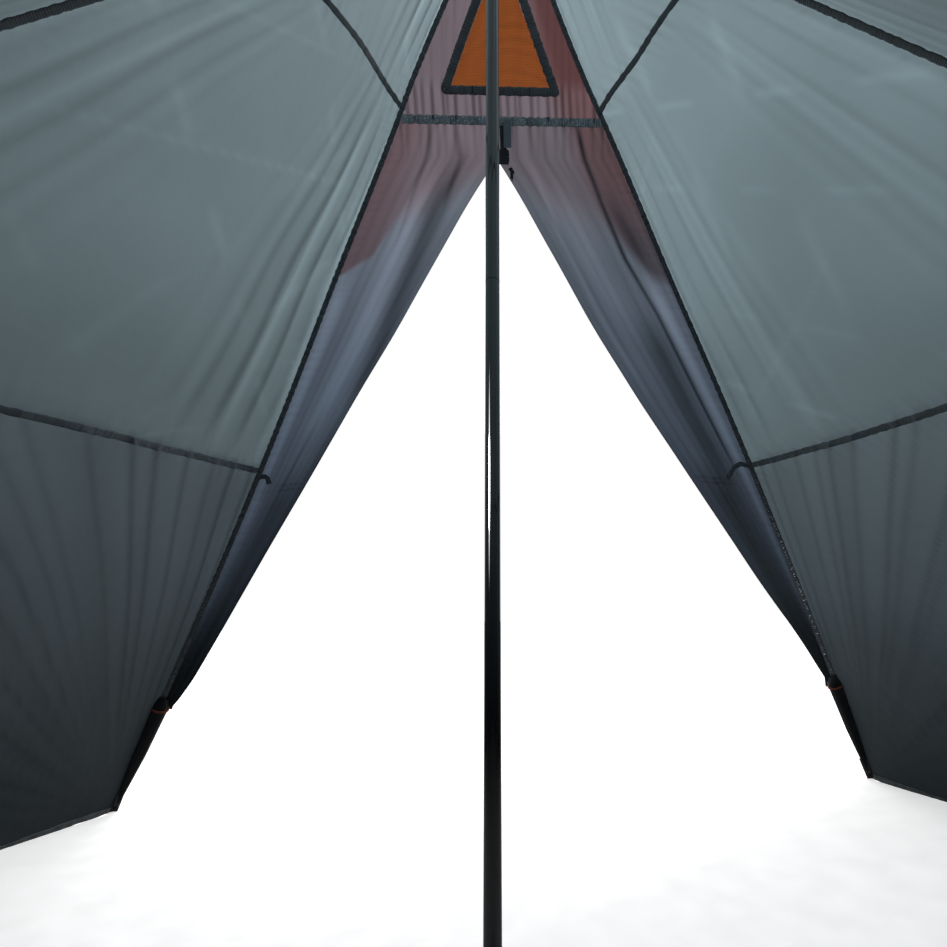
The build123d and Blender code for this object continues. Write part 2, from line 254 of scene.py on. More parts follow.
def tube_object(name, path, radii, material, sides=24, lobes=0.0, seed=3, squeeze=1.0, flat_axis=None):
    """A closed tube along a path; lobes makes the soft lengthwise folds of rolled cloth."""
    path = np.asarray(path, float)
    tangent = unit(np.gradient(path, axis=0))
    guide = np.array(flat_axis if flat_axis is not None else (0.0, 0.0, 1.0), float)
    side = unit(np.cross(tangent, guide))
    other = unit(np.cross(side, tangent))
    angle = np.linspace(0, 2 * math.pi, sides, endpoint=False)
    along = np.concatenate(([0.0], np.cumsum(np.linalg.norm(np.diff(path, axis=0), axis=1))))
    draw = np.random.default_rng(seed)
    phases = draw.uniform(0, 2 * math.pi, 4)
    folds = (np.cos(3 * angle + phases[0] + 2.2 * along[:, None]) * 0.45
             + np.cos(5 * angle + phases[1] - 3.1 * along[:, None]) * 0.35
             + np.cos(8 * angle + phases[2] + 5.0 * along[:, None]) * 0.2)
    radius = np.asarray(radii, float)[:, None] * (1 + lobes * folds)
    points = (path[:, None] + side[:, None] * (np.cos(angle) * radius)[..., None]
              + other[:, None] * (np.sin(angle) * radius * squeeze)[..., None])
    coords = np.stack(np.broadcast_arrays(angle[None, :] * np.mean(radii), along[:, None]), axis=-1)
    return grid_object(name, points, material, coords, wrap=True, caps=True)


# ---------------------------------------------------------------- materials
WAVE_SCALE = 0.31                              # bands of a wave texture of scale 1 are about this far apart
WHITE = (1.0, 1.0, 1.0, 1.0)
HOOD_SHADOW_TINT = (2.0, 0.55, 0.42)                       # painted tint: what the hood's shadow does to the light behind the cloth
RIPSTOP = 0.008                                # spacing of the hood's ripstop threads


class Nodes:
    """Short calls for building a material's nodes."""

    def __init__(self, name):
        self.material = bpy.data.materials.new(name)
        self.material.use_nodes = True
        self.tree = self.material.node_tree
        self.tree.nodes.clear()
        self.out = self.add("ShaderNodeOutputMaterial")

    def add(self, kind, inputs=None, **values):
        """A node with its settings and its inputs, each a value or another node's output."""
        node = self.tree.nodes.new(kind)
        for key, value in values.items():
            setattr(node, key, value)
        for key, value in (inputs or {}).items():
            if isinstance(value, bpy.types.NodeSocket):
                self.tree.links.new(value, node.inputs[key])
            else:
                node.inputs[key].default_value = value
        return node

    def surface(self, shader):
        """Ends the material with this shader."""
        self.tree.links.new(shader.outputs[0], self.out.inputs["Surface"])
        return self.material

    def ramp(self, value, stops):
        node = self.add("ShaderNodeValToRGB", {0: value})
        node.color_ramp.interpolation = "B_SPLINE" if len(stops) > 3 else "EASE"
        elements = node.color_ramp.elements
        while len(elements) > 1:
            elements.remove(elements[0])
        elements[0].position, elements[0].color = stops[0][0], (*stops[0][1], 1)
        for position, colour in stops[1:]:
            elements.new(position).color = (*colour, 1)
        return node.outputs[0]

    def noise(self, vector, scale, detail=2.0, rough=0.5):
        inputs = {"Vector": vector, "Scale": scale, "Detail": detail, "Roughness": rough}
        return self.add("ShaderNodeTexNoise", inputs).outputs["Fac"]

    def fit(self, value, low, high, start=0.0, end=1.0):
        """value, which runs from start to end, made to run from low to high."""
        inputs = {"Value": value, "From Min": start, "From Max": end, "To Min": low, "To Max": high}
        return self.add("ShaderNodeMapRange", inputs).outputs[0]

    def scaled(self, colour, factor):
        return self.add("ShaderNodeVectorMath", {0: colour, "Scale": factor}, operation="SCALE").outputs[0]

    def tint(self, colour, factor_from, low, high):
        """colour times a grey factor that runs from low to high with factor_from."""
        return self.scaled(colour, self.fit(factor_from, low, high, 0.3, 0.7))

    def bump(self, height, strength, distance, normal=None):
        inputs = {"Height": height, "Strength": strength, "Distance": distance}
        if normal is not None:
            inputs["Normal"] = normal
        return self.add("ShaderNodeBump", inputs).outputs[0]

    def principled(self, colour, roughness, specular, normal, more):
        inputs = {"Base Color": colour, "Roughness": roughness, "Specular IOR Level": specular,
                  "Normal": normal}
        return self.add("ShaderNodeBsdfPrincipled", inputs | more)


def thin_cloth(name, face, through_stops, crinkle=1.0, ripstop=False):
    """Coated polyester that shows the light on its far side. through_stops paint the colour of the light that
    comes through at each share of the tent's height; the mesh's own attributes paint the rest of its light and
    shade and the hood's warm shadow."""
    n = Nodes(name)
    place = n.add("ShaderNodeTexCoord").outputs["Object"]
    uv = n.add("ShaderNodeUVMap").outputs["UV"]
    height = n.add("ShaderNodeSeparateXYZ", {0: place}).outputs["Z"]
    share = n.add("ShaderNodeMath", {0: height, 1: PEAK}, operation="DIVIDE").outputs[0]
    # painted tint of the light through the cloth: warmed by the hood's painted shadow, a little cooler on the
    # walls
    painted_tint = n.add("ShaderNodeAttribute", attribute_name="painted_tint").outputs["Fac"]
    warmed = n.add("ShaderNodeMix", {"Factor": painted_tint, "A": n.ramp(share, through_stops), "B": (*HOOD_SHADOW_TINT, 1)},
                   data_type="RGBA", blend_type="MULTIPLY", clamp_factor=False)
    through = n.tint(warmed.outputs["Result"], n.noise(place, 2.1, 3.0, 0.45), 0.90, 1.10)
    through = n.tint(through, n.noise(uv, 900.0, 1.0), 0.97, 1.03)
    # painted light and shade, from each point's light attribute
    through = n.scaled(through, n.add("ShaderNodeAttribute", attribute_name="light").outputs["Fac"])
    # crumples: long shallow creases, short crinkles and the weave
    stretched = n.add("ShaderNodeMapping", {"Vector": uv, "Scale": (16.0, 4.0, 1.0)}).outputs[0]
    short = n.noise(uv, 38.0, 4.0, 0.6)
    weave = n.add("ShaderNodeTexChecker", {"Vector": uv, "Scale": 1400.0}).outputs["Fac"]
    normal = n.bump(n.noise(stretched, 1.0, 4.0, 0.55), 0.35 * crinkle, 0.010)
    normal = n.bump(short, 0.30 * crinkle, 0.0016, normal)
    normal = n.bump(weave, 0.10, 0.0002, normal)
    if ripstop:
        lines = n.add("ShaderNodeTexBrick", {
            "Vector": uv, "Scale": 1.0, "Brick Width": RIPSTOP, "Row Height": RIPSTOP, "Mortar Size": 0.0006,
            "Mortar Smooth": 0.5, "Color1": WHITE, "Color2": WHITE, "Mortar": (0.62, 0.58, 0.55, 1),
        }, offset=0.0, squash=1.0)
        both = n.add("ShaderNodeMix", {"Factor": 1.0, "A": through, "B": lines.outputs["Color"]},
                     data_type="RGBA", blend_type="MULTIPLY")
        through = both.outputs["Result"]
    front = n.principled(n.tint(face, short, 0.92, 1.08), n.fit(short, 0.34, 0.54), 0.35, normal,
                         {"Sheen Weight": 0.12, "Sheen Roughness": 0.4})
    back = n.add("ShaderNodeBsdfTranslucent", {"Color": through, "Normal": normal})
    return n.surface(n.add("ShaderNodeMixShader", {0: 0.5, 1: front.outputs[0], 2: back.outputs[0]}))


def woven(name, colour, rib=0.0012, roughness=0.5, ribs_across=True, sheen=0.3, light=1.25, specular=0.4,
          crease=0.5, glints=None):
    """Tape, webbing or cord: a ribbed weave with small changes of shade. glints is where in the noise the
    painted glints begin: white specks that stand for highlights on crumpled film."""
    n = Nodes(name)
    uv = n.add("ShaderNodeUVMap").outputs["UV"]
    wave = n.add("ShaderNodeTexWave", {"Vector": uv, "Scale": WAVE_SCALE / rib, "Distortion": 0.6},
                 wave_type="BANDS", bands_direction="Y" if ribs_across else "X").outputs["Fac"]
    patch = n.noise(uv, 30.0, 3.0)
    shaded = n.tint(n.tint(colour, patch, 0.75, light), wave, 0.85, 1.12)
    if glints is not None:
        # painted highlights: white specks mixed into the colour
        painted_glint_mask = n.fit(n.noise(uv, 210.0, 3.0, 0.6), 0.0, 1.0, glints, glints + 0.07)
        painted_glint_mix = n.add("ShaderNodeMix", {"Factor": painted_glint_mask, "A": shaded, "B": (0.95, 0.97, 1.0, 1)},
                       data_type="RGBA")
        shaded = painted_glint_mix.outputs["Result"]
    normal = n.bump(wave, 0.5, rib * 0.3)
    normal = n.bump(patch, crease, 0.002, normal)
    normal = n.bump(n.noise(uv, 260.0, 3.0), 0.25, 0.0004, normal)
    rough = n.fit(patch, roughness - 0.12, roughness + 0.12)
    return n.surface(n.principled(shaded, rough, specular, normal, {"Sheen Weight": sheen}))


def solid(name, colour, roughness, metal=0.0, coat=0.0, coat_ior=1.5, grain=120.0, depth=0.0001,
          uneven=0.06, glow=0.0):
    """Moulded, painted or plated surface with slight unevenness."""
    n = Nodes(name)
    place = n.add("ShaderNodeTexCoord").outputs["Object"]
    wide = n.noise(place, 14.0, 2.0)
    rough = n.fit(wide, max(roughness - uneven, 0.02), roughness + uneven)
    more = {"Metallic": metal, "Coat Weight": coat, "Coat Roughness": 0.06, "Coat IOR": coat_ior,
            "Emission Color": WHITE, "Emission Strength": glow}
    normal = n.bump(n.noise(place, grain, 3.0), 0.3, depth)
    return n.surface(n.principled(n.tint(colour, wide, 0.9, 1.1), rough, 0.5, normal, more))


FACE_GREY = (0.070, 0.082, 0.088)
# painted light through the walls at each share of the tent's height: darker towards the ground
WALL_LIGHT = [
    (0.00, (0.010, 0.013, 0.015)), (0.10, (0.022, 0.028, 0.032)), (0.22, (0.060, 0.077, 0.090)),
    (0.37, (0.128, 0.162, 0.184)), (0.40, (0.138, 0.182, 0.198)), (0.55, (0.230, 0.300, 0.330)),
    (0.75, (0.320, 0.410, 0.445)), (0.90, (0.430, 0.540, 0.590)),
]
# painted light through the leaves at each share of the tent's height: darker towards the ground
LEAF_LIGHT = [
    (0.00, (0.002, 0.003, 0.004)), (0.15, (0.004, 0.006, 0.010)), (0.22, (0.018, 0.025, 0.034)),
    (0.29, (0.040, 0.054, 0.076)), (0.36, (0.070, 0.088, 0.124)), (0.43, (0.100, 0.132, 0.180)),
    (0.55, (0.150, 0.186, 0.246)), (0.66, (0.215, 0.250, 0.310)), (0.80, (0.300, 0.330, 0.390)),
]
HOOD_LIGHT = [(0.0, (0.46, 0.130, 0.035)), (0.5, (0.45, 0.125, 0.034)), (1.0, (0.42, 0.110, 0.026))]
wall_cloth = thin_cloth("wall_polyester", FACE_GREY, WALL_LIGHT)
leaf_cloth = thin_cloth("leaf_polyester", FACE_GREY, LEAF_LIGHT, crinkle=1.2)
hood_cloth = thin_cloth("hood_ripstop", (0.55, 0.16, 0.03), HOOD_LIGHT, ripstop=True)
bundle_cloth = woven("bundled_polyester", (0.030, 0.037, 0.045), rib=0.0016, ribs_across=False,
                     roughness=0.42, sheen=0.2)
seam_tape = woven("seam_tape", (0.060, 0.075, 0.088), rib=0.0045, roughness=0.34, specular=0.55)
# the door seams' tape and the header's film carry painted glints
bright_tape = woven("seam_tape_gathered", (0.085, 0.105, 0.125), rib=0.0045, roughness=0.28, specular=0.7,
                    light=1.1, glints=0.685)
film_tape = woven("seam_film", (0.190, 0.215, 0.245), rib=0.0060, roughness=0.17, specular=0.9, light=1.8,
                  crease=1.0, glints=0.585)
ring_tape = woven("ring_tape", (0.120, 0.155, 0.172), rib=0.0014, roughness=0.5, light=1.05)
binding_tape = woven("vent_binding_tape", (0.095, 0.095, 0.108), rib=0.004, roughness=0.36)
hem_tape = woven("hem_band", (0.090, 0.105, 0.115), rib=0.0012, ribs_across=False, roughness=0.6)
grey_webbing = woven("grey_webbing", (0.22, 0.25, 0.29), rib=0.0014, roughness=0.6)
red_webbing = woven("red_webbing", (0.11, 0.012, 0.010), rib=0.0014, roughness=0.65)
zip_tape = woven("zip_tape", (0.016, 0.018, 0.022), rib=0.0012, ribs_across=False)
elastic = woven("braided_elastic", (0.24, 0.045, 0.015), rib=0.0012, roughness=0.6)
pole_black = solid("pole_gloss_black", (0.006, 0.007, 0.008), 0.07, coat=1.0, coat_ior=2.0, grain=60.0,
                   depth=0.00002, uneven=0.015)
# a darker copy of the bundled cloth: painted shade on the leaf's gathered foot
bundle_foot_shaded = woven("bundled_polyester_foot_shaded", (0.010, 0.012, 0.015), rib=0.0016, ribs_across=False,
                     roughness=0.5, sheen=0.05)
plug_black = solid("plug_black", (0.012, 0.012, 0.013), 0.5, grain=400.0)
toggle_black = solid("toggle_black", (0.014, 0.014, 0.015), 0.38, grain=500.0)
enamel_black = solid("zip_enamel", (0.010, 0.010, 0.011), 0.28, metal=0.3)
plated = solid("plated_eyelet", (0.55, 0.55, 0.56), 0.3, metal=1.0)


def net_material():
    """Fine insect net: dark threads that are mostly gaps."""
    n = Nodes("vent_net")
    uv = n.add("ShaderNodeUVMap").outputs["UV"]
    lines = n.add("ShaderNodeTexWave", {"Vector": uv, "Scale": WAVE_SCALE / 0.004}, wave_type="BANDS",
                  bands_direction="Y").outputs["Fac"]
    thread = n.tint((0.10, 0.045, 0.02), n.noise(uv, 60.0, 2.0), 0.8, 1.2)
    return n.surface(n.principled(thread, 0.6, 0.3, n.bump(lines, 0.4, 0.0005),
                                  {"Alpha": n.fit(lines, 0.18, 0.40)}))


net = net_material()

# ---------------------------------------------------------------- camera
camera_data = bpy.data.cameras.new("camera")
camera = bpy.data.objects.new("camera", camera_data)
bpy.context.scene.collection.objects.link(camera)
bpy.context.scene.camera = camera
CAMERA_AT = Vector((-0.052, 1.066, 0.513))
PITCH, YAW, ROLL = (math.radians(v) for v in (13.841, 3.365, -1.493))
SENSOR = 36.0
FOCAL = 22.01
SHIFT_X = -0.0841
SHIFT_Y = -0.0043
ahead = Vector((-math.sin(YAW) * math.cos(PITCH), -math.cos(YAW) * math.cos(PITCH), math.sin(PITCH)))
right = Vector((-math.cos(YAW), math.sin(YAW), 0.0))
over = right.cross(ahead)
rolled_right = right * math.cos(ROLL) + over * math.sin(ROLL)
rolled_over = over * math.cos(ROLL) - right * math.sin(ROLL)
turn = Matrix((rolled_right, rolled_over, -ahead)).transposed().to_4x4()
camera.matrix_world = Matrix.Translation(CAMERA_AT) @ turn
camera_data.sensor_width = SENSOR
camera_data.lens = FOCAL
camera_data.shift_x = SHIFT_X
camera_data.shift_y = SHIFT_Y
camera_data.clip_start = 0.02

# ---------------------------------------------------------------- light and floor
scene = bpy.context.scene
scene.view_settings.view_transform = "Standard"
world = bpy.data.worlds.new("world")
scene.world = world
world.use_nodes = True
world.node_tree.nodes["Background"].inputs["Color"].default_value = (1.0, 1.0, 1.0, 1)
world.node_tree.nodes["Background"].inputs["Strength"].default_value = 1.0


def area_light(name, at, toward, size, power):
    """A soft rectangular light."""
    data = bpy.data.lights.new(name, "AREA")
    data.shape = "RECTANGLE"
    data.size, data.size_y = size
    data.energy = power
    made = bpy.data.objects.new(name, data)
    scene.collection.objects.link(made)
    facing = (Vector(toward) - Vector(at)).to_track_quat("-Z", "Y").to_matrix().to_4x4()
    made.matrix_world = Matrix.Translation(at) @ facing
    return made


area_light("sky_left", (-4.0, -2.0, 4.5), (0, 0, 1.2), (3.0, 3.0), 125)
area_light("sky_front", (0.6, -5.0, 4.0), (0, 0, 1.2), (3.0, 3.0), 90)
for name, wide, long, power in (("pole_streak", 0.22, 0.27, 0.15), ("pole_streak_ends", 0.16, 0.80, 0.055)):
    streak = area_light(name, (0.386, 0.391, 0.87), (0, 0, 0.74), (wide, long), power)
    streak.data.shape = "ELLIPSE"
    streak.data.spread = math.radians(22)
    streak.visible_camera = False

FLOOR_HALF = 30.0


def floor_sheet(name, height, shade, glow):
    """A wide level sheet that stands for the studio floor."""
    corners = [(x * FLOOR_HALF, y * FLOOR_HALF, height) for x, y in ((-1, -1), (1, -1), (1, 1), (-1, 1))]
    paper = solid(name + "_paper", (shade, shade, shade), 0.9, grain=3.0, depth=0.0, glow=glow)
    made = mesh_object(name, corners, [(0, 1, 2, 3)], paper)
    return made


floor = floor_sheet("floor", -0.0006, 0.82, 0.55)
floor.visible_diffuse = False
floor.visible_glossy = False
floor.visible_transmission = False
floor.visible_shadow = False
under_floor = floor_sheet("under_floor", -0.004, 0.20, 0.0)
under_floor.visible_camera = False

# ---------------------------------------------------------------- the plain walls
RING_FOLD = 0.075                              # spacing of the folds under a ring seam


def wall_frame(wall, share, height):
    """For points at a share across a wall and a height: distance from each corner seam and up the slope."""
    first, second = WALLS[wall]
    wide = np.linalg.norm(hip(second, height) - hip(first, height), axis=-1)
    centre = (CORNER[first] + CORNER[second]) / 2
    up = np.linalg.norm(APEX - centre) / PEAK * np.asarray(height)
    return share * wide, (1 - share) * wide, up


def fan(distance, up):
    """Angle round a corner, from its seam: 0 along the seam."""
    return np.arctan2(distance, np.maximum(up, 0.001))


def wall_folds(wall, share, height):
    """Depth of the cloth inside the flat wall, and the painted light and shade of its folds, creases and seams
    and by the doorway, as a share of the light let through.
    """
    seed = 10 * (list(WALLS).index(wall) + 1)
    from_first, from_second, up = wall_frame(wall, share, height)
    height = np.asarray(height, float)
    first, second = WALLS[wall]
    nearest = np.minimum(from_first, from_second)
    slack = 4 * share * (1 - share)
    lift = 1 - height / PEAK
    slant = np.linalg.norm(APEX - (CORNER[first] + CORNER[second]) / 2) / PEAK
    depth = (0.055 if wall == "left" else 0.030) * slack * lift ** 0.7
    light = np.full_like(depth, 0.94)
    below = 1 - smooth(height, RING_LOW - 0.004, RING_LOW + 0.02)
    above = 1 - below
    for corner, distance in ((first, from_first), (second, from_second)):
        by_door = corner.startswith("door")
        own = seed + len(corner)
        # below the lower ring, pleats fan out of the ground corner, with painted shade in each
        angle = fan(distance, up)
        reach = smooth(np.hypot(distance, up), 0.03, 0.55)
        spread_to = 1 - smooth(distance, 0.45 if by_door else 0.2, 1.25 if by_door else 0.7)
        fold = pleats(angle / 0.060 + 0.08 * ripple(up / 0.9, own + 1, 2), own, 0.12)
        fold = fold * below * spread_to * reach
        wide = pleats(angle / 0.17, own + 2, 0.30) * below * spread_to * reach
        depth = depth + (0.0040 if by_door else 0.0030) * fold + 0.005 * wide
        light = light - 0.30 * fold - 0.12 * wide
        # above it, long pleats run down from the upper ring's corner, close beside the seam, with painted
        # light on their ridges and painted shade in their folds
        down = (RING_HIGH - height) * slant
        rank = distance / (0.042 + 0.055 * np.maximum(down, 0))
        reach = smooth(np.hypot(distance, down), 0.02, 0.25)
        reach = reach * smooth(height, RING_LOW - 0.02, RING_LOW + 0.16)
        narrow_to = 1 - smooth(rank, 1.6, 4.6)
        fold = pleats(rank * 1.3 + 0.10 * ripple(up / 0.7, own + 3, 2), own + 4, 0.17)
        fold = fold * above * narrow_to * reach
        ridge = pleats(rank * 1.1 + 0.4, own + 5, 0.16) * above * narrow_to * reach
        strength = {"door_right": 0.9, "door_left": 0.5}.get(corner, 0.4)
        depth = depth + 0.0045 * strength * (fold - ridge)
        light = light + strength * (0.42 * ridge - 0.42 * fold)
        # painted light and dark lines on either side of the seam
        beside = np.exp(-((distance - 0.030) / 0.010) ** 2) * strength * smooth(down, 0.05, 0.3) * above
        light = light + 0.28 * beside * (0.6 + 0.4 * ripple(up / 0.3, own + 6, 3))
    depth = depth + 0.004 * ripple(from_first / 0.42 + up / 1.3, seed + 4, 3) * slack
    # long creases left by folding the tent away, with painted light along them above the lower ring
    for k, slope in enumerate((0.55, -0.8, 2.2)):
        apart = 0.27 + 0.11 * k
        crease = pleats((up * slope + from_first) / apart, seed + 20 + k, 0.014 / apart)
        crease = crease * smooth(ripple(from_first / 0.5 + up / 0.35, seed + 30 + k, 3), -0.2, 0.7)
        depth = depth - 0.0012 * crease * slack
        light = light + 0.14 * crease * above
    # puckers along the sewn rings, with painted light and shade in them
    for ring in (RING_LOW, RING_HIGH):
        off = np.abs(height - ring)
        gathered = pleats(from_first / 0.026, seed + 6, 0.26) - 0.35
        near = np.exp(-off / 0.030) * smooth(off, 0.0, 0.012)
        depth = depth + 0.0032 * gathered * near
        light = light - 0.22 * gathered * near
    # and along the corner seams, with painted light and shade in them
    for k, distance in enumerate((from_first, from_second)):
        gathered = pleats(up / 0.022 + distance / 0.05, seed + 8 + k, 0.26) - 0.35
        near = np.exp(-distance / 0.030) * smooth(distance, 0.004, 0.02)
        depth = depth + 0.0030 * gathered * near
        light = light - 0.16 * gathered * near
    # painted light: stronger by the doorway on one side and away from it on the other
    for corner, distance in ((first, from_first), (second, from_second)):
        if corner == "door_right":
            light = light * (1 + 0.24 * np.exp(-distance / 0.45) * above)
        if corner == "door_left":
            light = light * (0.98 + 0.38 * smooth(distance, 0.45, 1.1))
        if corner.startswith("door"):
            light = light * (1 + 0.22 * smooth(distance, 0.25, 0.9) * below)
    return depth * smooth(nearest, 0.0, 0.02), np.clip(light, 0.25, 1.8)


def wall_points(wall, share, height, inward=0.0, with_light=False):
    """Points of a wall's inner face."""
    first, second = WALLS[wall]
    share, height = np.broadcast_arrays(np.asarray(share, float), np.asarray(height, float))
    flat = hip(first, height) * (1 - share[..., None]) + hip(second, height) * share[..., None]
    depth, light = wall_folds(wall, share, height)
    points = settle(flat - wall_out(first, second) * (depth + inward)[..., None])
    return (points, light) if with_light else points


HEM_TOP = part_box("hem_left")[1][2]
WALL_ROWS = {"lower": (0.004, RING_LOW), "middle": (RING_LOW, RING_HIGH), "upper": (RING_HIGH, CLOTH_TOP)}
ROW_COUNT = {"lower": 130, "middle": 130, "upper": 60}
for wall, ends in WALLS.items():
    near_door = any(corner.startswith("door") for corner in ends)
    detail = 1.0 if near_door else 0.6
    columns = int(210 * detail)
    for row, (low, high) in WALL_ROWS.items():
        count = int(ROW_COUNT[row] * detail)
        share, height = np.meshgrid(spread(columns, 0.8), low + (high - low) * spread(count, 0.75))
        points, light = wall_points(wall, share, height, with_light=True)
        from_first, _, up = wall_frame(wall, share, height)
        name = f"panel_{wall}_{row}"
        # painted tint: the light through the walls a little cooler
        painted_tint = np.full(light.shape, -0.03 if wall == "left" else -0.02)
        panel = grid_object(f"cloth_{wall}_{row}", points, wall_cloth,
                            np.stack((from_first, up), axis=-1), light=light, painted_tint=painted_tint)
        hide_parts(name)
        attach(panel, "root")


# ---------------------------------------------------------------- the door wall
def door_half(height):
    """Half the door wall's width at a height."""
    return DOOR_HALF * (1 - np.asarray(height, float) / PEAK)


def door_points(x, height, outward=0.0):
    """Points of the door wall, given across, height and how far outside the flat wall they are."""
    x, height, outward = np.broadcast_arrays(*(np.asarray(v, float) for v in (x, height, outward)))
    base = np.stack((x, -DOOR_DIST * (1 - height / PEAK), height), axis=-1)
    return settle(base + DOOR_OUT * outward[..., None])


EDGE_TAN = EDGE_SPREAD * UP_SLOPE[2]           # spread of a tied edge for each unit down the slope


VENT_LOW, VENT_HIGH = (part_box("vent_mesh")[k][2] for k in (0, 1))
VENT_LOW_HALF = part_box("vent_mesh")[1][0]
VENT_HIGH_HALF = 0.026


def vent_half(height):
    """Half the vent's width at a height, held at its ends above and below the vent."""
    share = np.clip((np.asarray(height, float) - VENT_LOW) / (VENT_HIGH - VENT_LOW), 0, 1)
    return VENT_LOW_HALF * (1 - share) + VENT_HIGH_HALF * share


def header_out(x, height):
    """The gathered cloth above the header seam, in metres outside the flat wall."""
    strip = 1 - smooth(height, VENT_LOW - 0.02, VENT_LOW + 0.03)
    gathers = (pleats(np.asarray(x) / 0.021, 65, 0.22) - 0.3) * -(0.0050 * strip + 0.0015)
    edge = smooth(door_half(height) - np.abs(x), 0.0, 0.015)
    return (gathers + 0.0025 * ripple(np.asarray(x) / 0.09 + height / 0.2, 62)) * edge


def header_object():
    """The door wall above the leaves, with the vent's hole."""
    rows_below, rows_beside, rows_above = 22, 60, 40
    heights = np.concatenate((np.linspace(HEADER, VENT_LOW, rows_below),
                              np.linspace(VENT_LOW, VENT_HIGH, rows_beside)[1:],
                              np.linspace(VENT_HIGH, CLOTH_TOP, rows_above)[1:]))
    beside, inside = 70, 90
    xs = []
    for height in heights:
        hole, half = float(vent_half(height)), float(door_half(height))
        hole = min(hole, 0.6 * half)
        left = np.linspace(-half, -hole, beside)
        middle = np.linspace(-hole, hole, inside)[1:-1]
        xs.append(np.concatenate((left, middle, -left[::-1])))
    x = np.array(xs)
    height = np.broadcast_to(heights[:, None], x.shape)
    points = door_points(x, height, header_out(x, height))
    first_row = rows_below - 1
    last_row = first_row + rows_beside - 1
    faces = []
    columns = x.shape[1]
    for r, face in enumerate(grid_faces(len(heights), columns)):
        row, column = divmod(r, columns - 1)
        in_hole = first_row <= row < last_row and beside - 1 <= column < columns - beside
        if not in_hole:
            faces.append(face)
    coords = np.stack((x, height * SLOPE), axis=-1).reshape(-1, 2)
    used = sorted({v for face in faces for v in face})
    renumber = {old: new for new, old in enumerate(used)}
    faces = [tuple(renumber[v] for v in face) for face in faces]
    strip = 1 - smooth(height, VENT_LOW - 0.02, VENT_LOW + 0.03)
    # painted shade in the gathered strip's pleats, and the hood's painted shadow: darker and warmer towards
    # the -x side
    light = 1 - 0.62 * (pleats(x / 0.021, 65, 0.22) - 0.3) * (0.15 + 0.85 * strip)
    beyond = smooth(-x / door_half(height), 0.40, 0.75) * (1 - 0.45 * strip)
    light = light * (0.64 - 0.36 * beyond)
    painted_tint = 0.25 + 0.55 * beyond
    return mesh_object("cloth_door_header", points.reshape(-1, 3)[used], faces, leaf_cloth,
                       coords[used], light=light.ravel()[used], painted_tint=painted_tint.ravel()[used])


header = header_object()
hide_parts("door_header")
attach(header, "root")


WEB_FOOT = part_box("flap_web_left")[0][2]      # the leaf is gathered into its tie from here down
TIE_AT = middle_height("tie_loop_left")
LEAF_END = TIE_AT - 0.012
# half the opening's width at a few heights, where each leaf is drawn back to its tie
DRAWN = {
    1: ((0.25, 0.270, 0.33, 0.70, 1.08, 1.26, 1.45, 1.58, 1.68),
        (0.956, 0.944, 0.890, 0.662, 0.418, 0.295, 0.174, 0.092, 0.018)),
    -1: ((0.25, 0.272, 0.30, 0.42, 0.58, 0.83, 1.07, 1.26, 1.41, 1.50, 1.59, 1.68),
         (0.974, 0.956, 0.931, 0.846, 0.717, 0.533, 0.361, 0.236, 0.150, 0.095, 0.042, -0.018)),
}


def leaf_edge_x(side, height):
    """Half the opening's width at a height, down the drawn edge to the tie."""
    height = np.asarray(height, float)
    round_off = np.clip(np.minimum(height - 0.28, 1.67 - height), 0, 0.04)
    return sum(np.interp(height + k * round_off, *DRAWN[side]) for k in (-1, -0.5, 0, 0.5, 1)) / 5


# lengthwise folds of each leaf: heights, shares of the leaf's width from its edge to the seam, half width as a
# share, and the change in the painted light: up on a ridge, down in a fold
LEAF_FOLDS = {
    1: (
        ((1.05, 1.19, 1.28, 1.38, 1.47, 1.56, 1.64), (0.00, 0.08, 0.14, 0.19, 0.24, 0.31, 0.33), 0.120, -0.55),
        ((1.00, 1.16, 1.27, 1.32, 1.42, 1.55, 1.62), (0.42, 0.42, 0.42, 0.44, 0.46, 0.50, 0.47), 0.120, 0.48),
        ((0.80, 0.95, 1.10, 1.23, 1.35), (0.86, 0.86, 0.87, 0.87, 0.88), 0.075, 0.50),
        ((0.86, 1.05, 1.23, 1.34), (0.70, 0.70, 0.69, 0.68), 0.060, -0.12),
        ((0.45, 0.62, 0.82), (0.90, 0.88, 0.84), 0.150, 0.55),
        ((0.30, 0.60, 0.86), (0.30, 0.36, 0.34), 0.220, -0.45),
        ((0.84, 0.93, 1.05), (0.44, 0.42, 0.38), 0.026, -0.25),
        ((0.50, 0.80, 1.02), (0.00, 0.00, 0.00), 0.170, -0.45),
        ((1.48, 1.62, 1.77), (0.52, 0.60, 0.66), 0.022, -0.35),
        ((1.55, 1.66, 1.77), (0.20, 0.30, 0.42), 0.030, -0.35),
    ),
    -1: (
        ((0.90, 1.10, 1.30, 1.44, 1.58, 1.77), (0.74, 0.72, 0.71, 0.65, 0.67, 0.73), 0.022, -0.60),
        ((0.45, 0.87, 1.05, 1.25, 1.38), (0.84, 0.85, 0.83, 0.80, 0.78), 0.065, 0.55),
        ((0.30, 0.60, 0.86), (0.32, 0.38, 0.36), 0.230, -0.45),
        ((0.86, 1.05, 1.25), (0.50, 0.50, 0.54), 0.130, -0.40),
        ((1.25, 1.42, 1.60), (0.36, 0.32, 0.38), 0.120, 0.22),
        ((1.38, 1.47, 1.56), (0.80, 0.79, 0.76), 0.055, -0.40),
        ((1.10, 1.30, 1.50, 1.66), (0.14, 0.13, 0.16, 0.24), 0.030, 0.20),
    ),
}
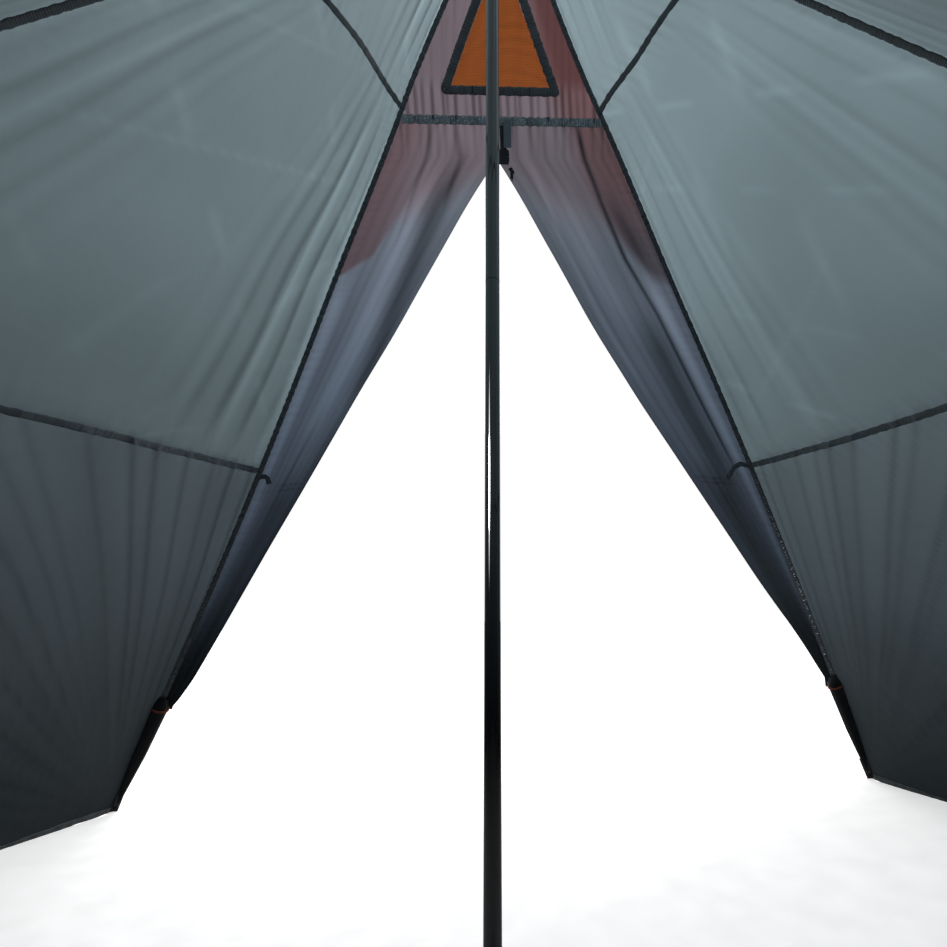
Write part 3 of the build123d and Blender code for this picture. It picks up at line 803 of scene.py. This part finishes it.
# the hood's lower edge as its painted shadow shows on each leaf: distances from the seam, heights, and how
# soft it is
HOOD_SHADE = {
    1: ((0.0, 0.074, 0.085, 0.100, 0.190, 0.280), (1.385, 1.440, 1.490, 1.545, 1.580, 1.640),
        (0.006, 0.010, 0.030, 0.060, 0.075, 0.060)),
    -1: ((0.0, 0.050, 0.066, 0.095, 0.120, 0.217, 0.320), (1.375, 1.392, 1.430, 1.486, 1.530, 1.560, 1.630),
         (0.020, 0.025, 0.035, 0.045, 0.070, 0.080, 0.070)),
}


def web_folds(side, share, height):
    """A leaf's lengthwise folds, which spread from the tie up to the header seam: how far the cloth stands
    outside the flat wall, its painted light and shade, and how far the hood's painted shadow warms its tint."""
    seed = 71 if side > 0 else 88
    wide = door_half(height) - leaf_edge_x(side, height)
    from_seam = (1 - share) * wide
    from_edge = share * wide
    taper = np.clip(wide / 0.30, 0.15, 1.0)
    free = smooth(HEADER - height, 0.0, 0.20)
    out = 0.006 * ripple(share * 2.3 + 0.35 * height, seed, 3) * taper * free
    # painted light: the left leaf darker than the right
    light = np.full_like(out, 0.95 if side > 0 else 0.74)
    for heights, shares, half, change in LEAF_FOLDS[side]:
        middle = np.interp(height, heights, shares)
        within = (smooth(height, heights[0] - 0.08, heights[0] + 0.10)
                  * (1 - smooth(height, heights[-1] - 0.06, heights[-1] + 0.08)))
        hump = np.exp(-((share - middle) / half) ** 2) * within
        light = light + change * hump
        out = out + 0.011 * change * hump * taper * np.clip(half / 0.06, 0.5, 1.6)
    # painted shade in the fine pleats
    fine = pleats(share * 9.0 + 0.5 * height, seed + 1, 0.20)
    light = light - 0.16 * fine * smooth(height, 0.5, 0.9)
    out = out - 0.0015 * fine * taper * free
    top = np.exp(-(HEADER - height) / 0.07)
    gathered = (pleats(share * wide / 0.024, seed + 3, 0.22) - 0.3) * top
    puckers = (pleats(height / 0.022, seed + 4, 0.24) - 0.3) * np.exp(-from_seam / 0.030)
    # painted shade in the gathers under the header seam and the puckers beside the seam
    light = light - 0.45 * gathered - 0.15 * puckers
    out = out - 0.004 * gathered - 0.003 * puckers
    out = out * smooth(from_seam, 0.0, 0.02) * smooth(HEADER - height, 0.0, 0.015)
    # the ring seam's line goes on across the leaf, double where the cloth is folded
    for level in (RING_LOW - 0.040, RING_LOW - 0.052):
        crossing = np.exp(-((height - level - 0.10 * from_seam + 0.006) / 0.0022) ** 2)
        light = light - 0.20 * crossing * smooth(from_seam, 0.05, 0.07) * smooth(from_edge, 0.0, 0.03)
    # painted shadow of the rolled edge along the leaf's edge, and painted shade towards the ground
    light = light * (1 - 0.35 * np.exp(-from_edge / 0.007)) * smooth(height, 0.24, 0.62)
    # the hood's painted shadow: darker above its edge, and warmed by the tint
    insets, levels, soft = HOOD_SHADE[side]
    level = np.interp(from_seam, insets, levels)
    softness = np.interp(from_seam, insets, soft)
    shade = smooth((height - level) / softness, -1.0, 1.0)
    if side > 0:
        depth = 0.25 + 0.14 * np.exp(-((from_seam - 0.03) / 0.05) ** 2)
        light = light * (1 - shade * (0.24 + 0.20 * np.exp(-((from_seam - 0.03) / 0.045) ** 2)))
    else:
        outer = smooth(share, 0.55, 0.80)
        depth = 0.21 + 0.28 * outer * smooth(height, 1.42, 1.65)
        light = light * (1 - shade * (0.20 + 0.30 * outer))
    return out, np.clip(light, 0.02, 1.7), depth * shade


for name, side in SIDES.items():
    heights = np.concatenate((np.linspace(LEAF_END, WEB_FOOT + 0.03, 40)[:-1],
                              np.linspace(WEB_FOOT + 0.03, OPENING[2], 330),
                              np.linspace(OPENING[2], HEADER, 40)[1:]))
    share, height = np.meshgrid(spread(110, 0.55), heights)
    inner = leaf_edge_x(side, height)
    x = side * (inner + (door_half(height) - inner) * share)
    out, light, painted_tint = web_folds(side, share, height)
    from_edge = share * (door_half(height) - inner)
    web = grid_object(f"cloth_web_{name}", door_points(x, height, out), leaf_cloth,
                      np.stack((from_edge, height * SLOPE), axis=-1), light=light, painted_tint=painted_tint)
    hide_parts(f"flap_web_{name}")
    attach(web, "root")


# how far each straight zip half lies behind the web's drawn edge: at the top, and more for each metre down it
EDGE_BEHIND = {1: (0.007, 0.0), -1: (0.003, 0.018)}


def on_edge(side, along, inset, outward=0.0):
    """Points beside a leaf's zipped edge: along it from the opening's top, inset to the seam's side."""
    angle = math.atan(EDGE_TAN)
    along, inset, outward = np.broadcast_arrays(*(np.asarray(v, float) for v in (along, inset, outward)))
    inset = inset + EDGE_BEHIND[side][0] + EDGE_BEHIND[side][1] * along
    x = along * math.sin(angle) + inset * math.cos(angle)
    height = OPENING[2] - (along * math.cos(angle) - inset * math.sin(angle)) / SLOPE
    base = np.stack((side * x, -DOOR_DIST * (1 - height / PEAK), height), axis=-1)
    return base + DOOR_OUT * outward[..., None]


def hide_from_light(piece):
    """What stands behind the lit cloth casts no shadow and takes no part in the light: its shade is painted
    into the cloth's own light.
    """
    piece.visible_diffuse = False
    piece.visible_transmission = False
    piece.visible_shadow = False


# zip: tape with teeth down each leaf's edge, and the cloth behind it
CHAIN_START, CHAIN_END, CHAIN_WIDE = 0.025, 1.68, 0.005
PLEAT_NEAR, PLEAT_FAR = 0.034, 0.008           # how far from the edge the pleats begin and end
PLEAT_WIDE = PLEAT_NEAR - PLEAT_FAR
for name, side in SIDES.items():
    along = np.linspace(CHAIN_START, CHAIN_END, 400)
    path = on_edge(side, along, 0.5 * CHAIN_WIDE + 0.0010, 0.009)
    beside = unit(on_edge(side, along, 0.01) - on_edge(side, along, 0.0))
    tape = strip_object(f"zip_edge_{name}", path, beside, -DOOR_OUT,
                        CHAIN_WIDE / 2, 0.0016, zip_tape, ribs=0.0003, rib_long=0.003, seed=31)
    teeth_points, teeth_faces = [], []
    for k, at in enumerate(np.arange(CHAIN_START, CHAIN_END, 0.004)):
        for dx, dy, dz in ((-1, -1, -1), (1, -1, -1), (1, 1, -1), (-1, 1, -1),
                           (-0.8, -0.8, 1), (0.8, -0.8, 1), (0.8, 0.8, 1), (-0.8, 0.8, 1)):
            teeth_points.append(on_edge(side, at + 0.0012 * dy, 0.0018 + 0.0016 * dx, 0.0106 + 0.0013 * dz))
        b = 8 * k
        for face in ((3, 2, 1, 0), (4, 5, 6, 7), (0, 1, 5, 4), (1, 2, 6, 5), (2, 3, 7, 6), (3, 0, 4, 7)):
            teeth_faces.append(tuple(b + v for v in face))
    teeth = mesh_object(f"zip_teeth_{name}", np.array(teeth_points), teeth_faces, enamel_black,
                        smooth_faces=False)
    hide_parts(f"zip_chain_{name}")
    for piece in (tape, teeth):
        hide_from_light(piece)
        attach(piece, f"leaf_edge_{name}")

    # the rolled leading part of the leaf, outside the wall
    along = np.linspace(0.07, 1.68, 260)
    share = (along - along[0]) / (along[-1] - along[0])
    radius = 0.0075 + 0.0040 * share
    wander = 0.0015 * ripple(along / 0.5, 33 + side)
    path = on_edge(side, along, 0.008 + radius + wander, radius + 0.019)
    roll = tube_object(f"rolled_leaf_{name}", path, radius, bundle_cloth, sides=40, lobes=0.16,
                       seed=41 + side)
    hide_from_light(roll)
    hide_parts(f"flap_roll_{name}")
    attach(roll, f"leaf_edge_{name}")

    # pleated cloth between the standing web and the rolled edge
    along = np.linspace(0.03, 1.69, 180)
    across = np.linspace(0, 1, 40)
    inset = PLEAT_NEAR - PLEAT_WIDE * across
    pleat = 0.0160 + 0.0022 * (0.5 + 0.5 * np.cos(2 * math.pi * 4 * across))
    a, i = np.meshgrid(along, inset, indexing="ij")
    outward = np.broadcast_to(pleat, a.shape)
    points = on_edge(side, a, i, outward)
    strip = grid_object(f"leaf_pleats_{name}", points, leaf_cloth,
                        np.stack((np.broadcast_to(across, a.shape), a), axis=-1),
                        light=np.full(a.shape, 0.8))
    hide_from_light(strip)
    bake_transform(strip)

    # the gathered foot of the leaf, from the tie to the corner
    foot = np.linspace(0.0, 1.0, 60)
    tail_height = TIE_AT + 0.022 - (TIE_AT + 0.014) * foot
    radius = np.interp(foot, (0.0, 0.05, 0.10, 0.5, 0.9, 1.0),
                       (0.0130, 0.0225, 0.0240, 0.0195, 0.0075, 0.0030))
    tail_x = side * (door_half(tail_height) - 0.004)
    path = door_points(tail_x, tail_height, -0.40 * radius - 0.002)
    tail = tube_object(f"leaf_foot_{name}", path, radius, bundle_foot_shaded, sides=48, lobes=0.10,
                       seed=51 + side, squeeze=0.42, flat_axis=DOOR_OUT)
    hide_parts(f"flap_tail_{name}")
    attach(tail, "root")

    # the elastic loop that holds the bundle to the seam
    turn_by = np.linspace(0, 2 * math.pi, 90, endpoint=False)
    middle = float(door_half(TIE_AT)) - 0.004
    across, outwards = side * (middle + 0.0236 * np.cos(turn_by)), -0.012 + 0.0135 * np.sin(turn_by)
    path = door_points(across, TIE_AT + 0.009 * np.cos(turn_by) + 0.006 * np.sin(turn_by), outwards)
    hoop = strip_object(f"tie_elastic_{name}", path, UP_SLOPE, unit(path - path.mean(axis=0)), 0.0022, 0.0024,
                        elastic, seed=61, crown=0.0004, closed=True)
    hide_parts(f"tie_loop_{name}")
    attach(hoop, "root")

# the closed stretch of zip above the opening
up_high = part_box("zip_upper")[1][2]
climb = np.linspace(OPENING[2] - 0.014, up_high, 80)
path = door_points(0.0, climb, -0.0012)
zip_half = np.interp(climb - OPENING[2], (-0.014, -0.004, 0.018, 0.024), (0.0125, 0.0150, 0.0150, 0.0080))
closed_zip = strip_object("zip_upper_tape", path, (1.0, 0.0, 0.0), -DOOR_OUT, zip_half, 0.0018, zip_tape,
                          ribs=0.0003, rib_long=0.003, seed=33, crown=0.0012)
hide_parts("zip_upper")
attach(closed_zip, "root")

# vent: net, binding and the hood outside
height = np.linspace(VENT_LOW, VENT_HIGH, 60)
share = np.linspace(-1, 1, 50)
s, h = np.meshgrid(share, height)
x = s * vent_half(h)
sag = 0.004 * (1 - s ** 2) * np.sin(math.pi * (h - VENT_LOW) / (VENT_HIGH - VENT_LOW))
net_sheet = grid_object("vent_net", door_points(x, h, -0.0005 - sag), net,
                        np.stack((x, h * SLOPE), axis=-1))
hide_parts("vent_mesh")
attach(net_sheet, "root")


def outline_loop(corners, step):
    """Points round a polygon, evenly spaced, with its corners a little rounded."""
    points = []
    count = len(corners)
    for k in range(count):
        start, end = np.array(corners[k]), np.array(corners[(k + 1) % count])
        steps = max(int(np.linalg.norm(end - start) / step), 4)
        points.extend(start + (end - start) * t for t in np.arange(steps) / steps)
    points = np.array(points)
    for _ in range(3):
        points = (np.roll(points, 1, axis=0) + 2 * points + np.roll(points, -1, axis=0)) / 4
    return points


BINDING_HALF = 0.0115
grow = BINDING_HALF - 0.001
loop = outline_loop([(-VENT_LOW_HALF - grow, VENT_LOW - grow), (VENT_LOW_HALF + grow, VENT_LOW - grow),
                     (VENT_HIGH_HALF + grow, VENT_HIGH + grow), (-VENT_HIGH_HALF - grow, VENT_HIGH + grow)],
                    0.0016)
path = door_points(loop[:, 0], loop[:, 1], -0.0016)
tangent = unit(np.roll(path, -1, axis=0) - np.roll(path, 1, axis=0))
inner = -DOOR_OUT
binding = strip_object("vent_edge_binding", path, unit(np.cross(tangent, inner)), inner, BINDING_HALF, 0.0022,
                       binding_tape, ribs=0.0010, rib_long=0.0065, seed=91, crown=0.0012, closed=True)
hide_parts("vent_binding")
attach(binding, "root")

HOOD_LOW, HOOD_HIGH = (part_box("vent_hood")[k][2] for k in (0, 1))
HOOD_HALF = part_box("vent_hood")[1][0]
HOOD_HIGH_HALF = 0.0588
HOOD_ARCH = 1.69
HOOD_SHOULDER = 0.05


def hood_arch(t):
    """The hood's lower edge, as across and height."""
    ends, middle = HOOD_LOW, HOOD_LOW + (HOOD_ARCH - HOOD_LOW) * 4 / 3
    weights = ((1 - t) ** 3, 3 * t * (1 - t) ** 2, 3 * t ** 2 * (1 - t), t ** 3)
    x = HOOD_HALF * (weights[3] - weights[0]) + HOOD_SHOULDER * (weights[2] - weights[1])
    z = ends * weights[0] + middle * weights[1] + middle * weights[2] + ends * weights[3]
    return x, z


t, v = np.meshgrid(np.linspace(0, 1, 160), np.linspace(0, 1, 120))
arch_x, arch_z = hood_arch(t)
top_x = HOOD_HIGH_HALF * (2 * t - 1)
hood_x = arch_x * (1 - v) + top_x * v
hood_z = arch_z * (1 - v) + (HOOD_HIGH - 0.003) * v
bow = np.sin(math.pi * t) ** 0.6
stand = 0.013 + 0.010 * bow * (1 - v) ** 0.6 + 0.0030 * ripple(t * 6 + v * 1.5, 95) * bow
stand = stand + 0.0016 * ripple(v * 14 + t * 2, 96) * bow
hood = grid_object("rain_hood", door_points(hood_x, hood_z, stand), hood_cloth,
                   np.stack((hood_x, hood_z * SLOPE), axis=-1), light=np.ones(hood_x.shape))
hide_from_light(hood)
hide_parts("vent_hood")
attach(hood, "root")
edge_t = np.linspace(0, 1, 260)
rim_x, rim_z = hood_arch(edge_t)
edge_bow = np.sin(math.pi * edge_t) ** 0.6
path = door_points(rim_x, rim_z, 0.013 + 0.010 * edge_bow)
hood_edge = tube_object("rain_hood_edge", path, np.full(len(path), 0.0032), binding_tape, sides=12,
                        lobes=0.05)
hide_from_light(hood_edge)
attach(hood_edge, "root")

# ---------------------------------------------------------------- seam and ring tapes
SEAMS = {
    "door_seam_left": ("door_left", DOOR_OUT, wall_out(*WALLS["left"])),
    "door_seam_right": ("door_right", DOOR_OUT, wall_out(*WALLS["right"])),
    "hip_seam_left": ("side_left", wall_out(*WALLS["left"]), wall_out(*WALLS["rear_left"])),
    "hip_seam_right": ("side_right", wall_out(*WALLS["right"]), wall_out(*WALLS["rear_right"])),
    "hip_seam_rear": ("rear", wall_out(*WALLS["rear_left"]), wall_out(*WALLS["rear_right"])),
}
for k, (node, (corner, first_out, second_out)) in enumerate(SEAMS.items()):
    low, high = (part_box(node)[i][2] for i in (0, 1))
    by_door = corner.startswith("door")
    step = 0.0015 if by_door else 0.003
    outward = unit(first_out + second_out)
    half = 0.0066 if by_door else 0.0080
    bend = math.acos(float(np.clip(first_out @ outward, -1, 1)))
    depth = half * math.tan(bend) + 0.0025
    heights = np.arange(low + 0.004, high, step)
    along = unit(APEX - CORNER[corner])
    path = settle(hip(corner, heights) - outward * depth)
    beside = unit(np.cross(along, outward))
    tape = strip_object(f"tape_{node}", path, beside, -outward, half, 0.0014,
                        bright_tape if by_door else seam_tape, ribs=0.0015 if by_door else 0.0007,
                        rib_long=0.0085, seed=101 + k, crown=0.0008)
    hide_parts(node)
    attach(tape, "root")

for wall in WALLS:
    for ring, level in (("lower", RING_LOW), ("upper", RING_HIGH)):
        node = f"ring_tape_{ring}_{wall}"
        from_first, from_second, _ = wall_frame(wall, np.array(0.5), np.array(level))
        wide = float(from_first + from_second)
        inset = 0.012 / wide
        share = np.linspace(inset, 1 - inset, int(wide / 0.0025))
        # where it meets the doorway's seam on the right, the ring's tape is pulled down
        pulled = 0.014 if (ring, wall) == ("lower", "right") else 0.0
        dip = pulled * smooth(share * wide, wide - 0.055, wide - 0.012)
        path = wall_points(wall, share, level - dip, 0.0042)
        upper = wall_points(wall, share, level - dip + 0.01, 0.0042)
        beside = unit(upper - path)
        out = wall_out(*WALLS[wall])
        tape = strip_object(f"tape_{node}", path, beside, -out, 0.0078, 0.0013,
                            ring_tape, ribs=0.0005, rib_long=0.011, seed=121, crown=0.0004)
        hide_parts(node)
        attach(tape, "root")

# a short end of the ring's tape goes on across each leaf
for name, side in SIDES.items():
    reach, levels = (((0.006, 0.020, 0.030, 0.040), (-0.016, -0.014, -0.020, -0.034)) if side > 0 else
                     ((0.006, 0.030, 0.052, 0.082), (-0.002, 0.004, -0.006, -0.034)))
    inset = np.linspace(reach[0], reach[-1], 40)
    level = RING_LOW + np.interp(inset, reach, levels)
    path = door_points(side * (door_half(level) - inset), level, -0.0025)
    tangent = unit(np.gradient(path, axis=0))
    inner = -DOOR_OUT
    end = strip_object(f"tape_ring_end_{name}", path, unit(np.cross(tangent, inner)), inner, 0.0066, 0.0012,
                       ring_tape, ribs=0.0005, rib_long=0.011, seed=123, crown=0.0004)
    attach(end, "root")

x = np.linspace(-door_half(HEADER) + 0.010, door_half(HEADER) - 0.010, 360)
path = door_points(x, HEADER, -0.0022)
header_tape = strip_object("tape_header_seam", path, UP_SLOPE, -DOOR_OUT, 0.0115, 0.0014, film_tape,
                           ribs=0.0017, rib_long=0.0085, seed=131, crown=0.0010)
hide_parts("header_seam_tape")
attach(header_tape, "root")

# hems along the ground
for wall in WALLS:
    node = f"hem_{wall}"
    from_first, from_second, _ = wall_frame(wall, np.array(0.5), np.array(0.0))
    wide = float(from_first + from_second)
    share = np.linspace(0.012 / wide, 1 - 0.012 / wide, int(wide / 0.006))
    middle = HEM_TOP / 2 + 0.0005
    path = wall_points(wall, share, middle, 0.0012)
    beside = unit(wall_points(wall, share, middle + 0.008, 0.0012) - path)
    out = wall_out(*WALLS[wall])
    band = strip_object(f"band_{node}", path, beside, -out, 0.0098, 0.0016, hem_tape,
                        ribs=0.0006, rib_long=0.03, seed=141)
    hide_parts(node)
    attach(band, "root")


# ---------------------------------------------------------------- pole, peak and corners
def lathe(name, profile, material, sides=72):
    """A turned piece: profile is (radius, height) down its outside and, if hollow, up its inside."""
    angle = np.linspace(0, 2 * math.pi, sides, endpoint=False)
    profile = np.asarray(profile, float)
    ring = np.stack((np.cos(angle), np.sin(angle)), axis=-1)
    rows = []
    for radius, height in profile:
        rows.append(np.concatenate((ring * radius, np.full((sides, 1), height)), axis=1))
    points = np.array(rows)
    coords = np.stack(np.broadcast_arrays(angle[None, :] * profile[:, :1].max(),
                                          profile[:, 1:]), axis=-1)
    faces = grid_faces(len(profile), sides, wrap=True)
    hollow = profile[0][0] > 1e-4 and np.allclose(profile[0], profile[-1])
    if not hollow:
        faces.append(tuple(range(sides))[::-1])
        faces.append(tuple(range((len(profile) - 1) * sides, len(profile) * sides)))
    return mesh_object(name, points.reshape(-1, 3), [face[::-1] for face in faces], material,
                       coords.reshape(-1, 2))


def sharp(obj, angle):
    """Keeps hard edges hard under smooth shading."""
    obj.data.set_sharp_from_angle(angle=math.radians(angle))


JOINT_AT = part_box("pole_lower")[1][2]
POLE_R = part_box("pole_lower")[1][0] + 0.0008
POLE_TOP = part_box("pole_upper")[1][2]
POLE_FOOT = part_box("pole_lower")[0][2]
lower = lathe("pole_lower_tube", [(POLE_R - 0.0012, JOINT_AT), (POLE_R - 0.0004, JOINT_AT),
                                  (POLE_R, JOINT_AT - 0.0008), (POLE_R, JOINT_AT - 0.3), (POLE_R, 0.6),
                                  (POLE_R, 0.3), (POLE_R, POLE_FOOT), (POLE_R - 0.0012, POLE_FOOT),
                                  (POLE_R - 0.0012, JOINT_AT)], pole_black)
upper = lathe("pole_upper_tube", [(POLE_R - 0.0014, POLE_TOP), (POLE_R - 0.0004, POLE_TOP),
                                  (POLE_R, POLE_TOP - 0.001), (POLE_R, 1.9), (POLE_R, 1.5),
                                  (POLE_R, JOINT_AT + 0.0013), (POLE_R - 0.0006, JOINT_AT + 0.0004),
                                  (POLE_R - 0.0013, JOINT_AT + 0.0004), (POLE_R - 0.0013, JOINT_AT - 0.058),
                                  (POLE_R - 0.0022, JOINT_AT - 0.06), (POLE_R - 0.0022, POLE_TOP - 0.02),
                                  (POLE_R - 0.0014, POLE_TOP)], pole_black)
FLANGE_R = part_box("pole_foot_plug")[1][0]
PLUG_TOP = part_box("pole_foot_plug")[1][2]
PLUG_R = POLE_R - 0.0013
foot_plug = lathe("pole_foot_plug", [(0.0002, PLUG_TOP), (PLUG_R - 0.0012, PLUG_TOP),
                                     (PLUG_R, PLUG_TOP - 0.0012), (PLUG_R, POLE_FOOT),
                                     (PLUG_R, POLE_FOOT - 0.0002),
                                     (FLANGE_R - 0.0006, POLE_FOOT - 0.0002), (FLANGE_R, POLE_FOOT - 0.0008),
                                     (FLANGE_R, 0.0012), (FLANGE_R - 0.0004, 0.0005),
                                     (FLANGE_R - 0.0012, 0.0), (0.0002, 0.0)], plug_black)
TIP_LOW, TIP_HIGH = (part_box("pole_tip")[k][2] for k in (0, 1))
TIP_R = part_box("pole_tip")[1][0]
tip = lathe("pole_tip_plug", [(0.0002, TIP_HIGH), (0.004, TIP_HIGH - 0.0002), (0.0075, TIP_HIGH - 0.0018),
                              (0.0105, TIP_HIGH - 0.0045), (TIP_R, TIP_HIGH - 0.0062),
                              (TIP_R, POLE_TOP + 0.0006),
                              (TIP_R - 0.0006, POLE_TOP + 0.0003), (TIP_R - 0.0015, POLE_TOP + 0.0003),
                              (TIP_R - 0.0015, TIP_LOW), (0.0002, TIP_LOW)], plug_black)
for piece, node in ((lower, "pole_lower"), (upper, "pole_upper"), (foot_plug, "pole_foot_plug"),
                    (tip, "pole_tip")):
    sharp(piece, 18)
    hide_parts(node)
    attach(piece, "pole")


def settled_copy(node, slot):
    """A copy of a CAD piece on the door, moved sideways with the cloth that carries it."""
    made = frame["nodes"][node].copy()
    made.data = made.data.copy()
    made.name = made.data.name = node + "_settled"
    made.parent = None
    bpy.context.scene.collection.objects.link(made)
    low, high = (np.array(v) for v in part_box(node))
    middle = (low + high) / 2
    aside = np.array((0.009 * np.sign(middle[0]) if slot == "toggle" else 0.0, 0, 0))
    made.data.transform(Matrix.Translation(Vector(settle(middle) - middle + aside)))
    del made["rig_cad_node"]
    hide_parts(node)
    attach(made, frame["nodes"][node]["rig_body"])
    return made


def finish_node(node, material, bevel=0.0006, slot=None):
    """A CAD node that keeps its shape, with its real finish and softened edges. One with a slot is on the
    door and moves with its cloth."""
    made = settled_copy(node, slot) if slot else frame["nodes"][node]
    made.data.materials.clear()
    made.data.materials.append(material)
    if bevel:
        modifier = made.modifiers.new("soften", "BEVEL")
        modifier.width = bevel
        modifier.segments = 2
        modifier.limit_method = "ANGLE"
        modifier.angle_limit = math.radians(40)


finish_node("apex_cap", woven("peak_cap_cloth", (0.03, 0.036, 0.042), rib=0.0014), 0.001)
finish_node("apex_pocket", grey_webbing, 0.0005)
finish_node("corner_tabs", red_webbing, 0.0005)
finish_node("corner_eyelets", plated, 0.001)
finish_node("zip_slider", enamel_black, 0.0008, "zip_metal")
finish_node("zip_pull", enamel_black, 0.0003, "zip_metal")
finish_node("zip_tab", grey_webbing, 0.0003, "grey_webbing")
for name in SIDES:
    finish_node(f"tie_toggle_{name}", toggle_black, 0.0003, "toggle")
